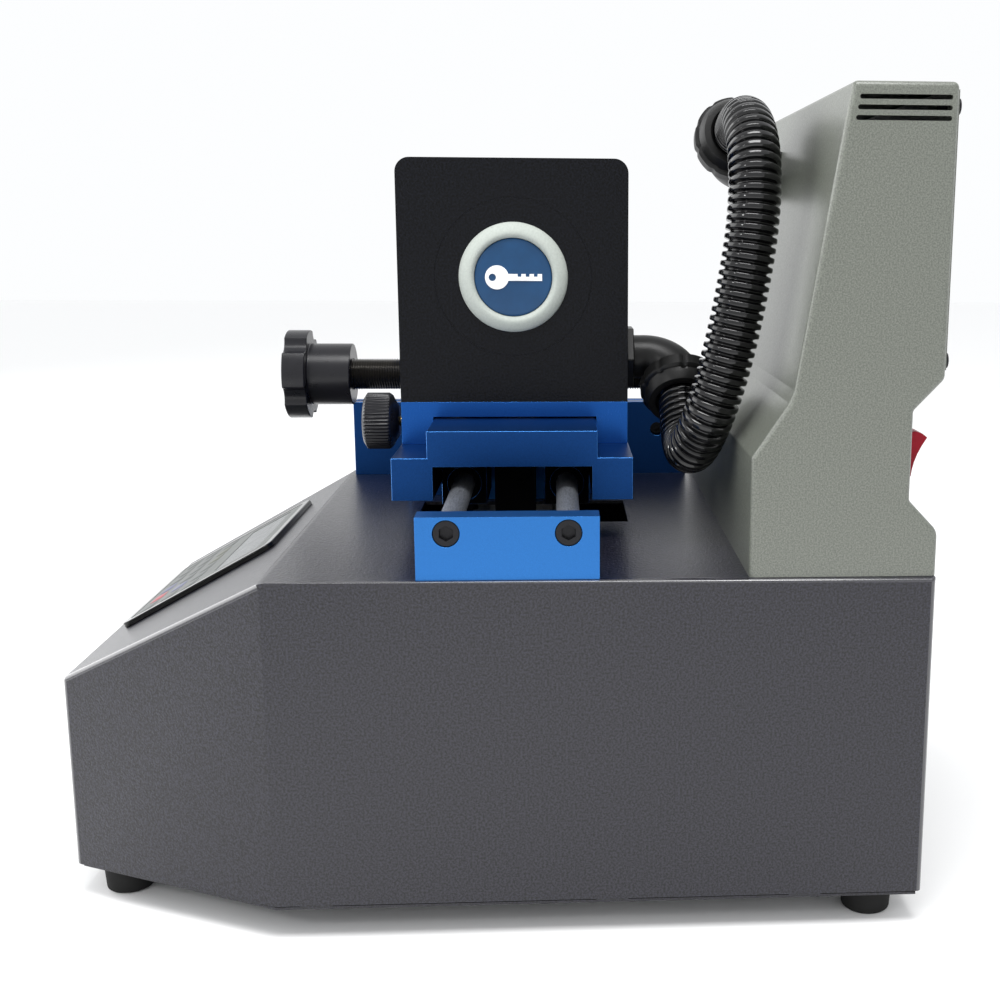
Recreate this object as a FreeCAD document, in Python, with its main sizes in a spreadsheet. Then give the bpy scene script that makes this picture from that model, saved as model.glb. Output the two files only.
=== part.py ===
"""Bench-top key duplicating machine: a folded sheet base with a sloping control panel, a tall
rear tower, a motor head that slides sideways on two guide rods, and a key vise beside it.

Millimetres.  +Z is up, the operator stands at -Y, +X is the operator's right.
The origin is on the table, under the middle of the machine's footprint."""

import FreeCAD, Part
import math
import os

Vector = FreeCAD.Vector

doc = FreeCAD.newDocument("key_duplicating_machine")
sheet = doc.addObject("Spreadsheet::Sheet", "dims")

DRIVING = {
    # base
    "base_width": 300, "base_depth": 440, "rear_overhang": 4, "foot_height": 15, "pan_drop": 3,
    "cover_height": 166, "front_height": 103, "slope_run": 114, "near_taper": 51, "far_taper": 14,
    "wall": 2, "bend_radius": 7, "fold_radius": 2.5, "pan_gap": 2.3, "pan_lip": 1.4, "pan_rise": 15,
    # feet and screws
    "foot_radius": 13.5, "foot_inset_x": 22, "foot_inset_y": 23.5,
    # tower
    "tower_width": 296, "tower_height": 232.5, "tower_front": 126, "tower_lean_top": 168.57,
    # rails and carriage
    "head_y": 9.5, "rod_half_pitch": 29.15, "rod_radius": 6, "rod_height": 23,
    "end_block_length": 14, "end_block_half": 44, "end_block_height": 31, "rail_end_x": 148,
    "saddle_near": 68, "saddle_far": -30, "wing_half": 64.5, "opening_half": 42.6,
    "tongue_half": 45.5,
    "leg_bottom": 22.5, "opening_top": 40.7, "wing_top": 45.5, "tongue_top": 60, "block_top": 69.5,
    "head_near": 17, "head_far": -27, "plate_thick": 3, "housing_half": 64, "housing_height": 134.5,
    "housing_wall": 3, "housing_radius": 8,
    # spindle
    "spindle_height": 139.3, "spindle_radius": 4, "cutter_radius": 25,
    # vise and clamp screw
    "vise_far": -124, "vise_near": -58, "clamp_x": -87, "clamp_height": 74, "clamp_radius": 10,
    "jaw_face": 12, "bar_near": -131, "bar_thick": 19, "bar_height": 50, "bar_front": -105,
    "bar_rear": 122,
    # flexible conduit
    "hose_diameter": 27,
    # drive screw under the cover
    "drive_drop": 34, "drive_radius": 5,
}
for row_number, (alias, number) in enumerate(DRIVING.items(), start=1):
    sheet.set("A%d" % row_number, alias)
    sheet.set("B%d" % row_number, str(number))
    sheet.setAlias("B%d" % row_number, alias)
doc.recompute()


class Size:
    """A length that carries both its value and the spreadsheet expression that gives it."""

    def __init__(self, value, text=None):
        self.value = float(value)
        self.text = text or "%.6g" % value

    def _join(self, other, sign, value, swapped=False):
        first, second = (other, self) if swapped else (self, other)
        return Size(value, "(%s %s %s)" % (first.text, sign, second.text))

    def __add__(self, other):
        other = size(other)
        return self._join(other, "+", self.value + other.value)

    __radd__ = __add__

    def __sub__(self, other):
        other = size(other)
        return self._join(other, "-", self.value - other.value)

    def __rsub__(self, other):
        return size(other) - self

    def __mul__(self, other):
        other = size(other)
        return self._join(other, "*", self.value * other.value)

    __rmul__ = __mul__

    def __truediv__(self, other):
        other = size(other)
        return self._join(other, "/", self.value / other.value)

    def __neg__(self):
        return size(0) - self


def size(value):
    return value if isinstance(value, Size) else Size(value)


def dim(alias):
    return Size(float(sheet.get(alias)), "dims." + alias)


# ------------------------------------------------------------------ places that many pieces share
half_width = dim("base_width") / 2
rear = dim("base_depth") / 2 - dim("rear_overhang") / 2
front = rear - dim("base_depth")
bend = front + dim("slope_run")
pan_z = dim("foot_height")
cover_z = pan_z + dim("pan_drop")
top = cover_z + dim("cover_height")
slope_foot = cover_z + dim("front_height")
slope_angle = math.atan2((top - slope_foot).value, dim("slope_run").value)
mid_y = dim("head_y")
rod_z = top + dim("rod_height")
wing_z = top + dim("wing_top")
block_z = top + dim("block_top")
spindle_z = top + dim("spindle_height")
clamp_z = top + dim("clamp_height")
drive_z = top - dim("drive_drop")
tower_top = top + dim("tower_height")

AXES = {"x": FreeCAD.Rotation(Vector(0, 1, 0), 90), "y": FreeCAD.Rotation(Vector(1, 0, 0), -90),
        "z": FreeCAD.Rotation()}
nodes = {}


# ------------------------------------------------------------------ small helpers
def bind(piece, path, value):
    piece.setExpression(path, size(value).text)


def put(piece, corner, rotation=None):
    base = Vector(*[size(c).value for c in corner])
    piece.Placement = FreeCAD.Placement(base, rotation or FreeCAD.Rotation())
    for letter, value in zip("xyz", corner):
        bind(piece, "Placement.Base." + letter, value)


def box(name, low, high):
    piece = doc.addObject("Part::Box", name)
    for side, a, b in zip(("Length", "Width", "Height"), low, high):
        bind(piece, side, size(b) - a)
    put(piece, low)
    return piece


def rod(name, radius, start, length, axis="z"):
    """A cylinder from its start point, along +X, +Y or +Z."""
    piece = doc.addObject("Part::Cylinder", name)
    bind(piece, "Radius", radius)
    bind(piece, "Height", length)
    put(piece, start, AXES[axis])
    return piece


def cone(name, radius_a, radius_b, start, length, axis="z"):
    piece = doc.addObject("Part::Cone", name)
    bind(piece, "Radius1", radius_a)
    bind(piece, "Radius2", radius_b)
    bind(piece, "Height", length)
    put(piece, start, AXES[axis])
    return piece


def hexagon(name, across_flats, start, length, axis="z"):
    piece = doc.addObject("Part::Prism", name)
    piece.Polygon = 6
    bind(piece, "Circumradius", size(across_flats) / (2 * math.cos(math.pi / 6)))
    bind(piece, "Height", length)
    put(piece, start, AXES[axis])
    return piece


def fuse(name, pieces):
    joined = doc.addObject("Part::MultiFuse", name)
    joined.Shapes = list(pieces)
    joined.Refine = True
    return joined


def cut(name, base, tools):
    tools = list(tools)
    result = doc.addObject("Part::Cut", name)
    result.Base = base
    result.Tool = tools[0] if len(tools) == 1 else fuse(name + "_tools", tools)
    result.Refine = True
    return result


def group(name, pieces):
    """Separate solids that share one node, such as a set of identical screws."""
    together = doc.addObject("Part::Compound", name)
    together.Links = list(pieces)
    return together


def node(name, piece):
    piece.Label = name
    nodes[name] = piece
    return piece


def profile(name, plane, points, low, high):
    """A PartDesign body: a closed outline on the XY or YZ plane, padded from low to high."""
    body = doc.addObject("PartDesign::Body", name)
    sketch = body.newObject("Sketcher::SketchObject", name + "_outline")
    origin_plane = [f for f in body.Origin.OriginFeatures if f.Role == plane][0]
    sketch.AttachmentSupport = [(origin_plane, "")]
    sketch.MapMode = "FlatFace"
    sketch.AttachmentOffset = FreeCAD.Placement(Vector(0, 0, size(low).value), FreeCAD.Rotation())
    bind(sketch, "AttachmentOffset.Base.z", low)
    corners = [(size(a), size(b)) for a, b in points]
    for i, (a, b) in enumerate(corners):
        c, d = corners[(i + 1) % len(corners)]
        sketch.addGeometry(Part.LineSegment(Vector(a.value, b.value, 0), Vector(c.value, d.value, 0)), False)
    import Sketcher
    for i in range(len(corners)):
        sketch.addConstraint(Sketcher.Constraint("Coincident", i, 2, (i + 1) % len(corners), 1))
    for i, corner in enumerate(corners):
        for kind, value in zip(("DistanceX", "DistanceY"), corner):
            index = sketch.addConstraint(Sketcher.Constraint(kind, -1, 1, i, 1, value.value))
            sketch.setExpression("Constraints[%d]" % index, value.text)
    pad = body.newObject("PartDesign::Pad", name + "_pad")
    pad.Profile = sketch
    bind(pad, "Length", size(high) - low)
    body.Tip = pad
    doc.recompute()
    return body


def rounded(name, base, radius, wanted):
    """Fillet the edges of base for which wanted(edge) is true.  Radius may be a function of the edge."""
    doc.recompute()
    result = doc.addObject("Part::Fillet", name)
    result.Base = base
    chosen = []
    for i, edge in enumerate(base.Shape.Edges, start=1):
        if wanted(edge):
            r = radius(edge) if callable(radius) else size(radius).value
            chosen.append((i, r, r))
    result.Edges = chosen
    return result


def hollow(name, base, wall, opened):
    """A shell of the given wall inside base, open at the faces for which opened(face) is true."""
    doc.recompute()
    result = doc.addObject("Part::Thickness", name)
    faces = ["Face%d" % i for i, f in enumerate(base.Shape.Faces, start=1) if opened(f)]
    result.Faces = (base, faces)
    result.Value = -size(wall).value
    bind(result, "Value", -size(wall))
    result.Join = 2
    return result


def shaped(name, shape, placement=None):
    piece = doc.addObject("Part::Feature", name)
    piece.Shape = shape
    if placement:
        piece.Placement = placement
    return piece


def is_flat_at(face, axis, level):
    bounds = face.BoundBox
    low = {"x": bounds.XMin, "y": bounds.YMin, "z": bounds.ZMin}[axis]
    high = {"x": bounds.XMax, "y": bounds.YMax, "z": bounds.ZMax}[axis]
    return abs(low - level) < 0.01 and abs(high - level) < 0.01


def socket_screw(name, head_radius, head_height, shank_radius, length, seat, axis, into=1, key=0.52):
    """A socket head cap screw.  Its head's underside is at seat, and its shank runs along +axis if
    into is 1, or along -axis if into is -1."""
    def along(distance):
        return [size(c) + (distance * into if letter == axis else 0) for letter, c in zip("xyz", seat)]

    if into > 0:
        head = rod(name + "_head", head_radius, along(-head_height), head_height, axis)
        shank = rod(name + "_shank", shank_radius, along(-0.5), length + 0.5, axis)
        drive = hexagon(name + "_drive", head_radius * 2 * key, along(-head_height), head_height * 0.55, axis)
    else:
        head = rod(name + "_head", head_radius, along(0), head_height, axis)
        shank = rod(name + "_shank", shank_radius, along(length), length + 0.5, axis)
        drive = hexagon(name + "_drive", head_radius * 2 * key, along(-head_height * 0.45),
                        head_height * 0.55, axis)
    return cut(name, fuse(name + "_solid", [head, shank]), [drive])


# ------------------------------------------------------------------ base
def make_base_cover():
    side = [(rear, cover_z), (rear, top), (bend, top), (front, slope_foot), (front, cover_z)]
    block = profile("cover_block", "YZ_Plane", side, -half_width, half_width)
    reach = 20
    run = dim("slope_run")
    near_end = half_width - dim("near_taper") * (run + reach) / run
    far_end = -half_width + dim("far_taper") * (run + reach) / run
    near = profile("near_wedge", "XY_Plane", [(half_width, bend), (near_end, front - reach),
                                              (half_width + 40, front - reach)], cover_z - 5, top + 5)
    far = profile("far_wedge", "XY_Plane", [(-half_width, bend), (-half_width - 40, front - reach),
                                            (far_end, front - reach)], cover_z - 5, top + 5)
    tapered = cut("cover_tapered", block, [near, far])

    def soft_edge(edge):
        b = edge.BoundBox
        crosses = b.XLength > 100 and abs(b.ZMax - top.value) < 1 and abs(b.YMin - bend.value) < 1
        return crosses and b.YLength < 1

    bent = rounded("cover_bent", tapered, dim("bend_radius"), soft_edge)

    shell = hollow("cover_shell", bent, dim("wall"), lambda f: is_flat_at(f, "z", cover_z.value))
    slot_start = dim("saddle_far") - 8
    slot = box("drive_slot", (slot_start, mid_y - 13, top - 6), (dim("rail_end_x") - 20, mid_y + 13, top + 3))
    window = box("head_window", (slot_start, mid_y - 58, top - 6), (22, mid_y + dim("wing_half"), top + 3))
    wire_slot = box("tower_slot", (-60, dim("tower_front") + 20, top - 6),
                    (60, dim("tower_front") + 60, top + 3))
    holes = [rod("cover_hole_%d" % i, 2.7, (x, y, top - 6), 12) for i, (x, y) in enumerate(end_block_bolts())]
    tabs = []
    tab_holes = []
    tab_z = pan_z + dim("wall")
    for i, (x, y) in enumerate(pan_screw_places()):
        wall_x = half_width - dim("wall") / 2
        start = -wall_x if x.value < 0 else x - 8
        end = x + 8 if x.value < 0 else wall_x
        tabs.append(box("tab_%d" % i, (start, y - 8, tab_z), (end, y + 8, tab_z + 4)))
        tab_holes.append(rod("tab_hole_%d" % i, 2.05, (x, y, tab_z - 1), 8))
    body = fuse("cover_with_tabs", [shell] + tabs)
    node("base_cover", cut("base_cover", body, [slot, window, wire_slot] + holes + tab_holes))


def plan(inset):
    """The base's outline seen from above, moved in by inset."""
    inset = size(inset)
    near_front = half_width - dim("near_taper")
    far_front = -half_width + dim("far_taper")
    return [(half_width - inset, rear - inset), (-half_width + inset, rear - inset),
            (-half_width + inset, bend), (far_front + inset * 1.12, front + inset),
            (near_front - inset * 1.25, front + inset), (half_width - inset, bend)]


def pan_screw_places():
    x = half_width - 17
    return [(side, y) for y in (bend + 20, size(60), rear - 60) for side in (x, -x)]


def foot_places():
    """Two feet under the rear corners, two under the front corners."""
    near_front = half_width - dim("near_taper")
    inset_x = dim("foot_inset_x")
    inset_y = dim("foot_inset_y")
    return [(half_width - inset_x, rear - inset_y), (-half_width + inset_x, rear - inset_y),
            (near_front - 12, front + inset_y), (-near_front + 12, front + inset_y)]


def make_pan_and_feet():
    inset = dim("pan_gap") + dim("pan_lip")
    slab = profile("pan_block", "XY_Plane", plan(inset), pan_z, pan_z + dim("pan_rise"))
    rim = (pan_z + dim("pan_rise")).value
    upstand = hollow("pan_upstand", slab, dim("wall"), lambda f: is_flat_at(f, "z", rim))
    lip = profile("pan_lip_plate", "XY_Plane", plan(dim("pan_gap")), pan_z, pan_z + 1.5)
    tray = fuse("pan_tray", [upstand, lip])
    holes = []
    for i, (x, y) in enumerate(pan_screw_places()):
        holes.append(rod("pan_hole_%d" % i, 2.2, (x, y, pan_z - 1), 6))
    for i, (x, y) in enumerate(foot_places()):
        holes.append(rod("pan_foot_hole_%d" % i, 2.55, (x, y, pan_z - 1), 6))
    notches = []
    for i, (x, y) in enumerate(pan_screw_places()):
        start = x if x.value > 0 else x - 20
        notches.append(box("pan_notch_%d" % i, (start, y - 8.5, pan_z + dim("wall")),
                           (start + 20, y + 8.5, pan_z + 30)))
    node("base_pan", cut("base_pan", tray, holes + notches))
    feet = []
    foot_screws = []
    radius = dim("foot_radius")
    for i, (x, y) in enumerate(foot_places()):
        body = cone("foot_body_%d" % i, radius - 1, radius, (x, y, 0), pan_z)
        recess = rod("foot_recess_%d" % i, 6, (x, y, -1), 7)
        hole = rod("foot_hole_%d" % i, 2.7, (x, y, -1), pan_z + 2)
        feet.append(cut("foot_%d" % i, body, [recess, hole]))
        foot_screws.append(socket_screw("foot_screw_%d" % i, 4.2, 4, 2.5, 13, (x, y, 6), "z", 1))
    node("rubber_feet", group("rubber_feet", feet))
    node("foot_screws", group("foot_screws", foot_screws))
    pan_screws = []
    for i, (x, y) in enumerate(pan_screw_places()):
        pan_screws.append(socket_screw("pan_screw_%d" % i, 3.5, 2.5, 2, 10, (x, y, pan_z), "z", 1))
    node("pan_screws", group("pan_screws", pan_screws))


# ------------------------------------------------------------------ tower
def tower_side():
    """The tower's outline seen from its side: a stepped front and a switch recess at the rear."""
    front_y = dim("tower_front")
    return [(front_y, top), (front_y, top + 58.6), (front_y + 17.4, top + 84.9), (front_y + 19.7, top + 91),
            (dim("tower_lean_top"), tower_top), (rear, tower_top), (rear, top + 96.2),
            (rear - 14.5, top + 80.9), (rear - 14.5, top + 37.2), (rear, top + 22), (rear, top)]


def switch_place():
    """The middle of the power switch on the recess wall."""
    return size(121), rear - 14.5, top + 57


def inlet_place():
    return size(60), rear - 14.5, top + 60


def rear_cover_screw_places():
    z_low = top + 104
    z_high = tower_top - 10
    side = dim("tower_width") / 2 - 14
    return [(x, z) for x in (side, size(0), -side) for z in (z_low, z_high)]


def make_tower():
    half = dim("tower_width") / 2
    block = profile("tower_block", "YZ_Plane", tower_side(), -half, half)

    def long_corner(edge):
        b = edge.BoundBox
        return b.XLength > 100 and b.ZMin > top.value + 1

    def corner_radius(edge):
        b = edge.BoundBox
        behind = b.YMin > rear.value - 1
        if behind and b.ZMin < top.value + 30:
            return 8.0
        if behind and b.ZMin < top.value + 100:
            return 5.0
        return 3.0

    def side_outline(edge):
        b = edge.BoundBox
        return b.XLength < 0.01 and b.ZMax > top.value + 0.01

    bent = rounded("tower_bent", block, corner_radius, long_corner)
    soft = rounded("tower_soft", bent, 3, side_outline)
    shell = hollow("tower_hollow", soft, dim("wall"), lambda f: is_flat_at(f, "z", top.value))
    opening = box("tower_rear_opening", (-half + 22, rear - 6, top + 112),
                  (half - 22, rear + 6, tower_top - 17))
    x, y, z = switch_place()
    switch_hole = box("switch_hole", (x - 9.6, y - 6, z - 13.2), (x + 9.6, y + 6, z + 13.2))
    x, y, z = inlet_place()
    inlet_hole = box("inlet_hole", (x - 14, y - 6, z - 10.2), (x + 14, y + 6, z + 10.2))
    vents = []
    for i in range(3):
        slot_z = tower_top - 7.1 - 4.7 * i
        slot_front = dim("tower_lean_top") + 4.2 - 0.16 * 4.7 * i
        slot_rear = rear - 4.4
        for side, x_low in (("near", half - 5), ("far", -half - 5)):
            name = "vent_%s_%d" % (side, i)
            vents.append(box(name, (x_low, slot_front, slot_z - 1.1), (x_low + 10, slot_rear, slot_z + 1.1)))
            vents.append(rod(name + "_front", 1.1, (x_low, slot_front, slot_z), 10, "x"))
            vents.append(rod(name + "_rear", 1.1, (x_low, slot_rear, slot_z), 10, "x"))
    hx, hy, hz = upper_fitting_place()
    out = wall_normal()
    hole_start = Vector(hx.value, hy.value, hz.value) - out * 15
    hose_hole = shaped("hose_hole", Part.makeCylinder(9, 30, hole_start, out))
    screw_holes = [rod("rear_screw_hole_%d" % i, 1.7, (x, rear - 8, z), 12, "y")
                   for i, (x, z) in enumerate(rear_cover_screw_places())]
    openings = [opening, switch_hole, inlet_hole, hose_hole]
    node("tower_shell", cut("tower_shell", shell, openings + vents + screw_holes))
    plate = box("rear_plate", (-half + 6, rear, top + 100), (half - 6, rear + 1.6, tower_top - 3))
    holes = [rod("rear_plate_hole_%d" % i, 1.7, (x, rear - 2, z), 6, "y")
             for i, (x, z) in enumerate(rear_cover_screw_places())]
    node("tower_rear_cover", cut("tower_rear_cover", plate, holes))
    node("rear_cover_screws", group("rear_cover_screws", [
        socket_screw("rear_screw_%d" % i, 3.8, 2.4, 1.6, 8, (x, rear + 1.6, z), "y", -1)
        for i, (x, z) in enumerate(rear_cover_screw_places())]))


def make_switch_and_inlet():
    x, y, z = switch_place()
    outer = box("bezel_outer", (x - 11.5, y, z - 15), (x + 11.5, y + 2, z + 15))
    neck = box("bezel_neck", (x - 9.4, y - 14, z - 13), (x + 9.4, y + 0.5, z + 13))
    well = box("bezel_well", (x - 8.4, y - 9.2, z - 12.3), (x + 8.4, y + 5, z + 12.3))
    node("switch_bezel", cut("switch_bezel", fuse("bezel_solid", [outer, neck]), [well]))
    outline = [(y - 3, z - 9.5), (y + 3.8, z - 11.7), (y + 5.0, z - 11.2), (y + 5.5, z - 7.6),
               (y + 6.4, z - 3.9), (y + 7.8, z), (y + 9.9, z + 4.2), (y + 12.5, z + 8.4), (y + 9.8, z + 10.4),
               (y + 6.5, z + 11.6), (y - 3, z + 9)]
    paddle = profile("rocker_profile", "YZ_Plane", outline, x - 8, x + 8)
    pivot_boss = rod("rocker_boss", 4.5, (x - 8, y - 1.5, z), 16, "x")
    node("power_rocker", fuse("power_rocker", [paddle, pivot_boss]))

    x, y, z = inlet_place()
    flange = box("inlet_flange", (x - 25, y, z - 12.5), (x + 25, y + 3, z + 12.5))
    tube = box("inlet_tube", (x - 13.8, y - 22, z - 10), (x + 13.8, y + 1, z + 10))
    cavity = box("inlet_cavity", (x - 12, y - 17, z - 8), (x + 12, y + 5, z + 8))
    screw_holes = [rod("inlet_hole_%d" % i, 1.7, (x + dx, y - 2, z), 8, "y")
                   for i, dx in enumerate((-20, 20))]
    shell = cut("inlet_shell", fuse("inlet_solid", [flange, tube]), [cavity] + screw_holes)
    pins = [box("pin_%d" % i, (x + dx - 2, y - 18, z + dz - 1), (x + dx + 2, y - 5, z + dz + 1))
            for i, (dx, dz) in enumerate(((-7, -2.5), (7, -2.5), (0, 3)))]
    node("power_inlet", fuse("power_inlet", [shell] + pins))


# ------------------------------------------------------------------ conduit and its two elbows
def upper_fitting_place():
    """Where the upper elbow leaves the tower's leaning front wall."""
    height = size(197)
    lean = (dim("tower_lean_top") - dim("tower_front") - 19.7) / (dim("tower_height") - 91)
    return size(-27), dim("tower_front") + 19.7 + lean * (height - 91), top + height


def wall_normal():
    """Square to the tower's leaning front wall, outwards."""
    run = dim("tower_lean_top").value - dim("tower_front").value - 19.7
    rise = dim("tower_height").value - 91
    return Vector(0, -rise, run).normalize()


def lower_fitting_place():
    """Where the lower elbow leaves the motor housing's rear wall."""
    return size(-3), mid_y + dim("housing_half"), size(277)


CONDUIT_BENDS = [(64, 133, 404.5), (85.5, 134, 385.5), (93.5, 132.5, 352), (95, 126, 312),
                 (95, 118.5, 278), (92, 110.5, 252), (76, 104.8, 234.5)]


def elbow_path(start, first, second, lead, bend_radius, tail):
    """Straight out along first, a tangent arc, and straight on along second."""
    first.normalize()
    second.normalize()
    turn = first.getAngle(second)
    reach = bend_radius * math.tan(turn / 2)
    corner = start + first * (lead + reach)
    arc_start = start + first * lead
    arc_end = corner + second * reach
    inward = (second - first).normalize()
    middle = corner + inward * bend_radius * (1 / math.cos(turn / 2) - 1)
    end = arc_end + second * tail
    edges = [Part.LineSegment(start, arc_start).toShape(), Part.Arc(arc_start, middle, arc_end).toShape(),
             Part.LineSegment(arc_end, end).toShape()]
    return Part.Wire(edges), arc_end, end


def pipe(wire, start, direction, radius):
    ring = Part.Wire(Part.Circle(start, direction, radius).toShape())
    return wire.makePipeShell([ring], True, False)


def hexagon_plate(across_flats, thickness, start, direction):
    radius = across_flats / (2 * math.cos(math.pi / 6))
    turns = [math.pi * k / 3 for k in range(7)]
    ring = Part.makePolygon([Vector(radius * math.cos(t), radius * math.sin(t), 0) for t in turns])
    plate = Part.Face(ring).extrude(Vector(0, 0, thickness))
    plate.Placement = FreeCAD.Placement(start, FreeCAD.Rotation(Vector(0, 0, 1), direction))
    return plate


def make_elbow(name, place, first, second, lead, leg, across_flats):
    start = Vector(*[c.value for c in place])
    wire, arc_end, end = elbow_path(start, first, second, lead, 20, leg + 4)
    mouth = arc_end + second * leg
    body = pipe(wire, start, first, 12.5)
    flange = hexagon_plate(across_flats, 4, start, first)
    neck = Part.makeCylinder(8.8, 10, start - first * 10, first)
    bore = Part.makeCylinder(7, 16, start - first * 11, first)
    node(name, shaped(name, body.fuse([flange, neck]).cut(bore).removeSplitter()))
    collar = Part.makeCylinder(23.2, 9, mouth + second, second)
    taper = Part.makeCone(21.5, 18.5, 7, mouth + second * 10, second)
    inner = [Part.makeCylinder(12.55, 5, mouth, second),
             Part.makeCylinder(13.8, 20, mouth + second * 4, second)]
    node(name + "_nut", shaped(name + "_nut", collar.fuse(taper).cut(inner).removeSplitter()))
    return end


def conduit_wire(points, largest_share=0.45):
    """Straight runs joined by tangent arcs, each as large as its two runs allow."""
    edges = []
    here = points[0]
    for before, corner, after in zip(points, points[1:], points[2:]):
        back = (before - corner)
        ahead = (after - corner)
        turn = math.pi - back.getAngle(ahead)
        tangent = largest_share * min(back.Length, ahead.Length)
        radius = tangent / math.tan(turn / 2)
        print("conduit arc radius %.1f mm, turn %.0f degrees" % (radius, math.degrees(turn)))
        back.normalize()
        ahead.normalize()
        start = corner + back * tangent
        end = corner + ahead * tangent
        inward = (back + ahead).normalize()
        middle = corner + inward * (radius / math.cos(turn / 2) - radius)
        edges.append(Part.LineSegment(here, start).toShape())
        edges.append(Part.Arc(start, middle, end).toShape())
        here = end
    edges.append(Part.LineSegment(here, points[-1]).toShape())
    return Part.Wire(edges)


def make_conduit():
    up = Vector(0.95, 0, 0.3).normalize()
    down = Vector(0.788, 0, -0.616).normalize()
    upper_end = make_elbow("upper_elbow", upper_fitting_place(), wall_normal(), up, 11, 20, 28)
    lower_end = make_elbow("lower_elbow", lower_fitting_place(), Vector(0, 1, 0), down, 10.5, 0, 34)
    radius = dim("hose_diameter").value / 2
    bends = [upper_end + up * 26] + [Vector(*bend) for bend in CONDUIT_BENDS] + [lower_end + down * 47]
    route = [upper_end] + bends + [lower_end]
    wire = conduit_wire(route)
    tube = pipe(wire, route[0], route[1] - route[0], radius)
    print("conduit length %.1f mm, volume %.0f, section times length %.0f"
          % (wire.Length, tube.Volume, math.pi * radius ** 2 * wire.Length))
    node("flexible_conduit", shaped("flexible_conduit", tube))


# ------------------------------------------------------------------ rails
def end_block_bolts():
    x = dim("rail_end_x") - dim("end_block_length") / 2
    far_x = dim("saddle_far") - 20
    return [(px, mid_y + dy) for px in (x, far_x) for dy in (-30, 30)]


def rail_block(name, low_x, counterbore_side):
    half = dim("end_block_half")
    length = dim("end_block_length")
    body = box(name + "_body", (low_x, mid_y - half, top),
               (low_x + length, mid_y + half, top + dim("end_block_height")))
    tools = []
    for i, sign in enumerate((-1, 1)):
        y = mid_y + dim("rod_half_pitch") * sign
        tools.append(rod("%s_clear_%d" % (name, i), 4.2, (low_x - 2, y, rod_z), length + 4, "x"))
        if counterbore_side > 0:
            tools.append(rod("%s_bore_%d" % (name, i), 6.6, (low_x + length - 6, y, rod_z), 8, "x"))
        else:
            tools.append(rod("%s_bore_%d" % (name, i), 6.6, (low_x - 2, y, rod_z), 8, "x"))
        tools.append(rod("%s_tap_%d" % (name, i), 2.55, (low_x + length / 2, mid_y + 30 * sign, top - 1), 15))
    return cut(name, body, tools)


def make_rails():
    near_low = dim("rail_end_x") - dim("end_block_length")
    far_low = dim("saddle_far") - 20 - dim("end_block_length") / 2
    node("rail_end_block", rail_block("rail_end_block", near_low, 1))
    node("rail_far_block", rail_block("rail_far_block", far_low, -1))
    rods = []
    screws = []
    far_face = far_low + dim("end_block_length")
    for i, sign in enumerate((-1, 1)):
        y = mid_y + dim("rod_half_pitch") * sign
        body = rod("guide_rod_body_%d" % i, dim("rod_radius"), (far_face, y, rod_z), near_low - far_face, "x")
        taps = [rod("guide_tap_a_%d" % i, 4.05, (far_face - 1, y, rod_z), 22, "x"),
                rod("guide_tap_b_%d" % i, 4.05, (near_low - 21, y, rod_z), 22, "x")]
        rods.append(cut("guide_rod_%d" % i, body, taps))
        screws.append(socket_screw("near_rod_screw_%d" % i, 6.3, 5.6, 4, 26,
                                   (dim("rail_end_x") - 6, y, rod_z), "x", -1))
        screws.append(socket_screw("far_rod_screw_%d" % i, 6.3, 5.6, 4, 26, (far_low + 6, y, rod_z), "x", 1))
    node("guide_rods", group("guide_rods", rods))
    node("rod_end_screws", group("rod_end_screws", screws))
    node("rail_block_bolts", group("rail_block_bolts", [
        socket_screw("rail_bolt_%d" % i, 4.2, 5, 2.5, 13, (x, y, top - dim("wall")), "z", 1)
        for i, (x, y) in enumerate(end_block_bolts())]))


# ------------------------------------------------------------------ drive under the cover
def make_drive():
    low = dim("saddle_far") - 60
    near_end = dim("rail_end_x") - 24
    motor_x = low - 46
    square = box("motor_square", (motor_x, mid_y - 28, drive_z - 28),
                 (motor_x + 44, mid_y + 28, drive_z + 28))
    boss = rod("motor_boss", 19, (motor_x + 44, mid_y, drive_z), 1.6, "x")
    bore = rod("motor_bore", 5.2, (motor_x + 30, mid_y, drive_z), 30, "x")
    node("drive_motor", cut("drive_motor", fuse("motor_solid", [square, boss]), [bore]))
    bracket_low = motor_x + 44
    plate = box("motor_plate", (bracket_low, mid_y - 32, drive_z - 30),
                (bracket_low + 5, mid_y + 32, top - dim("wall")))
    hole = rod("motor_plate_hole", 19.3, (bracket_low - 1, mid_y, drive_z), 8, "x")
    node("motor_bracket", cut("motor_bracket", plate, [hole]))
    blocks = []
    for i, x in enumerate((low + 14, near_end - 12)):
        body = box("bearing_body_%d" % i, (x, mid_y - 20, drive_z - 14),
                   (x + 12, mid_y + 20, top - dim("wall")))
        bore = rod("bearing_bore_%d" % i, dim("drive_radius") + 0.05, (x - 2, mid_y, drive_z), 16, "x")
        blocks.append(cut("bearing_block_%d" % i, body, [bore]))
    node("screw_bearings", group("screw_bearings", blocks))
    screw_start = bracket_low - 6
    node("drive_screw", rod("drive_screw", dim("drive_radius"), (screw_start, mid_y, drive_z),
                            near_end + 2 - screw_start, "x"))
    nut_x = (dim("saddle_far") + dim("saddle_near")) / 2
    nut = rod("nut_barrel", 11, (nut_x - 18, mid_y, drive_z), 36, "x")
    nut_bore = rod("nut_bore", dim("drive_radius") + 0.05, (nut_x - 20, mid_y, drive_z), 40, "x")
    node("drive_nut", cut("drive_nut", nut, [nut_bore]))
    stem = box("nut_stem", (nut_x - 12, mid_y - 11.4, drive_z - 15),
               (nut_x + 12, mid_y + 11.4, top + dim("opening_top")))
    stem_bore = rod("stem_bore", 11.02, (nut_x - 14, mid_y, drive_z), 28, "x")
    node("nut_bracket", cut("nut_bracket", stem, [stem_bore]))


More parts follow.
